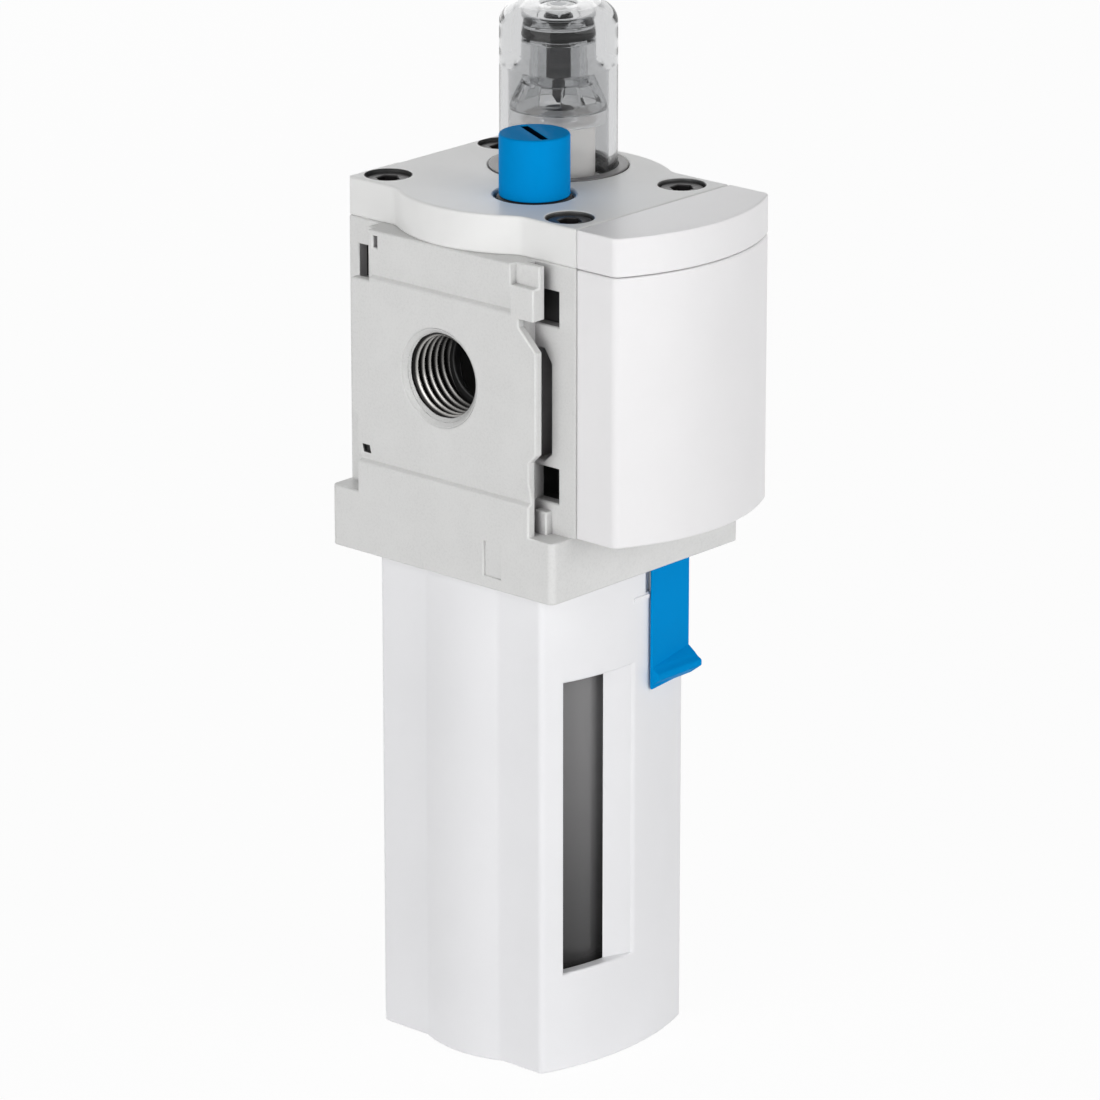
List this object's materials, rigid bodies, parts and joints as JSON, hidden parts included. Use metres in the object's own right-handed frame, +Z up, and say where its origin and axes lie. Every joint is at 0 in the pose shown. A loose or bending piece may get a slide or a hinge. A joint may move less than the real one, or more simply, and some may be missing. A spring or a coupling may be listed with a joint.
{
  "type": "air line lubricator",
  "caption": "Compressed-air oil-mist lubricator with threaded ports on both sides, screw filler plug, clear sight dome, bowed front cover and guarded oil bowl with window and release slide.",
  "frame": {"origin": "on the bowl's axis at the bottom face of the bowl guard", "axes": "+Z up along the bowl's axis, +X in the direction of flow from inlet to outlet, front cover towards -Y"},
  "size_m": [0.04, 0.0549, 0.1505],
  "materials": {
    "cast_housing": "die-cast, fine matt, light grey",
    "cap_plastic": "moulded, light grey",
    "cover_plastic": "moulded, satin off-white",
    "trim_plastic": "moulded, satin off-white",
    "guard_plastic": "moulded, satin white",
    "bowl_clear": "clear polycarbonate",
    "dome_clear": "clear polyamide",
    "blue_plastic": "moulded, satin blue",
    "dark_plastic": "moulded, satin anthracite",
    "pale_plastic": "moulded, natural",
    "seal_rubber": "moulded nitrile rubber",
    "screw_steel": "blackened",
    "bright_steel": "plain",
    "sintered_bronze": "sintered, porous"
  },
  "bodies": {
    "housing_group": {"housing": "cast_housing", "top_cap": "cap_plastic", "cap_gasket": "seal_rubber", "cap_screws": "screw_steel", "front_cover": "cover_plastic", "cover_trim": "trim_plastic", "sight_dome": "dome_clear", "dome_seal": "seal_rubber", "dome_ring": "dark_plastic", "drip_funnel": "dome_clear", "drip_seat": "dark_plastic", "drip_tube": "pale_plastic", "siphon_tube": "pale_plastic", "siphon_filter": "sintered_bronze", "riser_fitting": "pale_plastic", "check_ball": "bright_steel", "flow_insert": "pale_plastic", "flap_pin": "bright_steel", "flap_spring": "bright_steel"},
    "bowl_unit": {"bowl_guard": "guard_plastic", "bowl": "bowl_clear", "bowl_seal": "seal_rubber", "slide_spring": "bright_steel"},
    "latch": {"release_slide": "blue_plastic"},
    "filler_lifter": {"filler_seal": "seal_rubber"},
    "filler_screw": {"filler_plug": "blue_plastic"},
    "adjuster_lifter": {"adjuster_seal": "seal_rubber"},
    "adjuster_screw": {"drip_adjuster": "dome_clear", "metering_needle": "dark_plastic"},
    "flap": {"bypass_flap": "bright_steel"}
  },
  "joints": [
    {"name": "bowl_turn", "type": "hinge", "parent": "housing_group", "child": "bowl_unit", "pos_m": [0, 0, 0.0785], "axis": [0, 0, 1], "range_deg": [0, 45]},
    {"name": "latch_slide", "type": "slide", "parent": "bowl_unit", "child": "latch", "axis": [0, 0, -1], "range_m": [0, 0.004], "stiffness_N_per_m": 200, "springref_m": -0.004, "deforming": ["slide_spring"]},
    {"name": "filler_lift", "type": "slide", "parent": "housing_group", "child": "filler_lifter", "axis": [0, 0, 1], "range_m": [0, 0.004]},
    {"name": "filler_turn", "type": "hinge", "parent": "filler_lifter", "child": "filler_screw", "pos_m": [-0.0058, -0.0052, 0.127], "axis": [0, 0, 1], "range_deg": [0, 1440]},
    {"name": "adjuster_lift", "type": "slide", "parent": "housing_group", "child": "adjuster_lifter", "axis": [0, 0, 1], "range_m": [0, 0.00075]},
    {"name": "adjuster_turn", "type": "hinge", "parent": "adjuster_lifter", "child": "adjuster_screw", "pos_m": [0.0086, 0.0032, 0.1465], "axis": [0, 0, 1], "range_deg": [0, 540]},
    {"name": "flap_swing", "type": "hinge", "parent": "housing_group", "child": "flap", "pos_m": [0.0009, 0, 0.1086], "axis": [0, -1, 0], "range_deg": [0, 45], "stiffness_Nm_per_rad": 0.0002, "springref_deg": -28.65}
  ],
  "couplings": [
    {"joint": "filler_turn", "follows": "filler_lift", "rad_per_m": 6283.2},
    {"joint": "adjuster_turn", "follows": "adjuster_lift", "rad_per_m": 12566}
  ]
}
